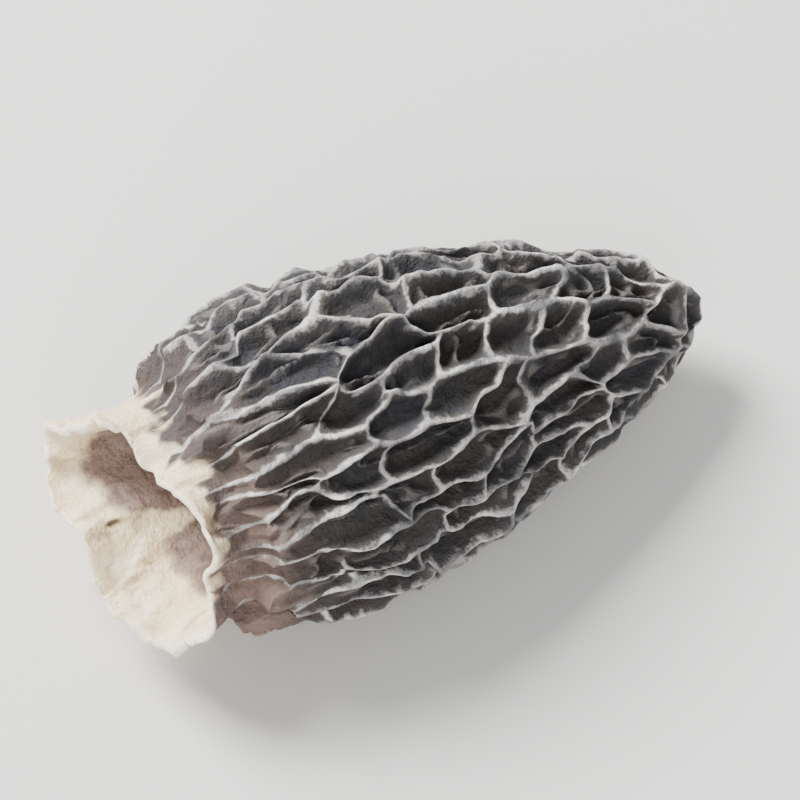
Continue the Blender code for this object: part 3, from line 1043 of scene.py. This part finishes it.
# %% Lay the tints over each other
# Each line is a result, the tone under it, and the tones laid over that, each by its cover
for result, ground, layers in (
    ("pit", "cold black", (
        ("blotched", "warm black"), ("dusty", "grey dust"), ("veined", "grey vein"),
    )),
    ("wall", "dark side", (("patched", "light side"),)),
    ("edge", "grey edge", (("bleached", "white edge"),)),
    ("skin", "pit", (("side", "wall"), ("base", "base brown"), ("pale edge", "edge"))),
    ("cream", "straw", (("patched", "ivory"), ("stained", "tan"), ("specked", "dark tan"))),
    # The tan in the folds is painted shade
    ("cut", "cream", (("folded", "fold shade tan"), ("lip", "cut cream"))),
    # Painted shade: brown and pink deep in the hollow, laid over the flesh on the next line
    ("hollow", "hollow shade brown", (("mottled", "hollow shade pink"),)),
    # The umber over the sunken spot is painted shade
    ("inner flesh", "cut", (("hollow_shade", "hollow"), ("spot_shade", "spot shade umber"))),
    ("mushroom", "skin", (("flesh", "inner flesh"),)),
):
    tone = tones[ground]
    for layer_cover, over in layers:
        node = add_node(
            tree, "ShaderNodeMix", {"data_type": "RGBA"},
            _0=cover[layer_cover], _6=tone, _7=tones[over],
        )
        tone = node.outputs[2]
    tones[result] = tone
print(len(tones), "tones in all")

# %% [markdown]
# ## Relief and shine
#
# What is under about 0.2 mm is too fine for the mesh: the wrinkles of the skin and the mealy grain
# of the flesh. Displacement would need millions of faces, so bump draws them. Dry skin and flesh
# refract as most dry organic matter does, near 1.5, which is the shader's default. A surface so
# broken gives little of that back as gloss: the roughness is 0.66 to 0.88, and the specular level
# is 0.35, under the usual 0.5.

# %% Relief of the wrinkles and the grain
RELIEF_HEIGHT, GRAIN_SHARE = 0.5 * MM, 0.35
relief = add_node(
    tree, "ShaderNodeMix", {"data_type": "FLOAT"},
    _0=GRAIN_SHARE, _2=pattern["wrinkle"], _3=pattern["grain"],
)
bump = add_node(
    tree, "ShaderNodeBump", Height=relief.outputs[0], Strength=1.0, Distance=RELIEF_HEIGHT
)
print("relief of", round(RELIEF_HEIGHT / MM, 1), "mm")

# %% A matt surface
# Roughness is least in the wrinkles, where the skin is closed, and most on their dusty tops
SMOOTHEST, ROUGHEST, SPECULAR = 0.66, 0.88, 0.35
rougher = add_node(
    tree, "ShaderNodeMapRange", STEP, Value=pattern["wrinkle"],
    From_Min=0.3, From_Max=0.7, To_Min=SMOOTHEST, To_Max=ROUGHEST,
)
shader = tree.nodes["Principled BSDF"]
tree.links.new(tones["mushroom"], shader.inputs["Base Color"])
tree.links.new(rougher.outputs[0], shader.inputs["Roughness"])
tree.links.new(bump.outputs[0], shader.inputs["Normal"])
shader.inputs["Specular IOR Level"].default_value = SPECULAR
mesh.materials.append(skin_and_flesh)
print("material", mesh.materials[0].name, "with", len(tree.nodes), "nodes")

# %% [markdown]
# ## In place of the CAD solid
#
# The CAD solid holds the same body with a coarser net. It could be subdivided and displaced, but
# its flat facets would still show, so the finer surface is shown in its place. It needs no move,
# because both are worked out in one frame.

# %% Tie the surface to the model
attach(morel, "root")
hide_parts("dried_morel")

# %% [markdown]
# ## Floor, light and camera
#
# The mushroom lies on a plain pale floor. A large soft lamp above and behind it on the left makes
# the ridges stand out, a weaker one fills the near side, and a grey-white sky lights the pits. A
# small lamp would be simpler, but its hard shadows would hide the pits. The camera looks down at 60
# degrees from the side of the cut stem, so the cap points up to the right.

# %% Floor of matt paper
# Uncoated paper scatters light evenly: it shows soft shadows and no gloss, so its roughness is 0.9
floor_mesh = bpy.data.meshes.new("floor")
floor_mesh.from_pydata([(-1, -1, 0), (1, -1, 0), (1, 1, 0), (-1, 1, 0)], [], [(0, 1, 2, 3)])
floor = bpy.data.objects.new("floor", floor_mesh)
bpy.context.scene.collection.objects.link(floor)
matt_paper = bpy.data.materials.new("matt pale paper")
matt_paper.use_nodes = True
paper = matt_paper.node_tree.nodes["Principled BSDF"]
paper.inputs["Base Color"].default_value = colour("#dcdad6")
paper.inputs["Roughness"].default_value = 0.9
floor_mesh.materials.append(matt_paper)
print("floor of", matt_paper.name)


# %% Soft lamps
def aimed(place, target):
    """A matrix at a place, whose -Z looks at the target with +Y up."""
    back = (Vector(place) - Vector(target)).normalized()
    side = Vector((0, 0, 1)).cross(back).normalized()
    up = back.cross(side)
    turn = Matrix((side, up, back)).transposed().to_4x4()
    return Matrix.Translation(place) @ turn


def soft_lamp(name, place, size, power):
    """A square lamp that looks at the mushroom."""
    lamp = bpy.data.lights.new(name, "AREA")
    lamp.shape, lamp.size, lamp.energy = "SQUARE", size, power
    lamp_object = bpy.data.objects.new(name, lamp)
    lamp_object.matrix_world = aimed(place, (0, 0, 0.008))
    bpy.context.scene.collection.objects.link(lamp_object)


# Places and sizes are in metres, powers in watts
soft_lamp("key lamp", (-0.16, 0.34, 0.42), 0.28, 9.6)
soft_lamp("fill lamp", (-0.30, -0.40, 0.35), 0.40, 3.0)
print("lamps", [light.name for light in bpy.data.lights])

# %% Grey-white sky
world = bpy.data.worlds.new("soft sky")
world.use_nodes = True
sky = world.node_tree.nodes["Background"]
sky.inputs["Color"].default_value = colour("#e8eaee")
sky.inputs["Strength"].default_value = 0.62
bpy.context.scene.world = world
print("world", world.name)

# %% Camera
# A long lens from 265 mm away, as one would take a close picture of a small thing
LENS_MM, CAMERA_DISTANCE = 180.0, 0.265
azimuth, elevation = math.radians(-27), math.radians(60)
level = math.cos(elevation)
back = Vector((math.sin(azimuth) * level, -math.cos(azimuth) * level, math.sin(elevation)))
target = Vector((0.0005, 0.0, 0.0085))
camera = bpy.data.cameras.new("camera")
camera.lens, camera.clip_start = LENS_MM, 0.01
camera_object = bpy.data.objects.new("camera", camera)
camera_object.matrix_world = aimed(target + back * CAMERA_DISTANCE, target)
bpy.context.scene.collection.objects.link(camera_object)
bpy.context.scene.camera = camera_object
print("camera looks down at", round(math.degrees(elevation)), "degrees")

# %% [markdown]
# ## The end


print("the scene is set up")
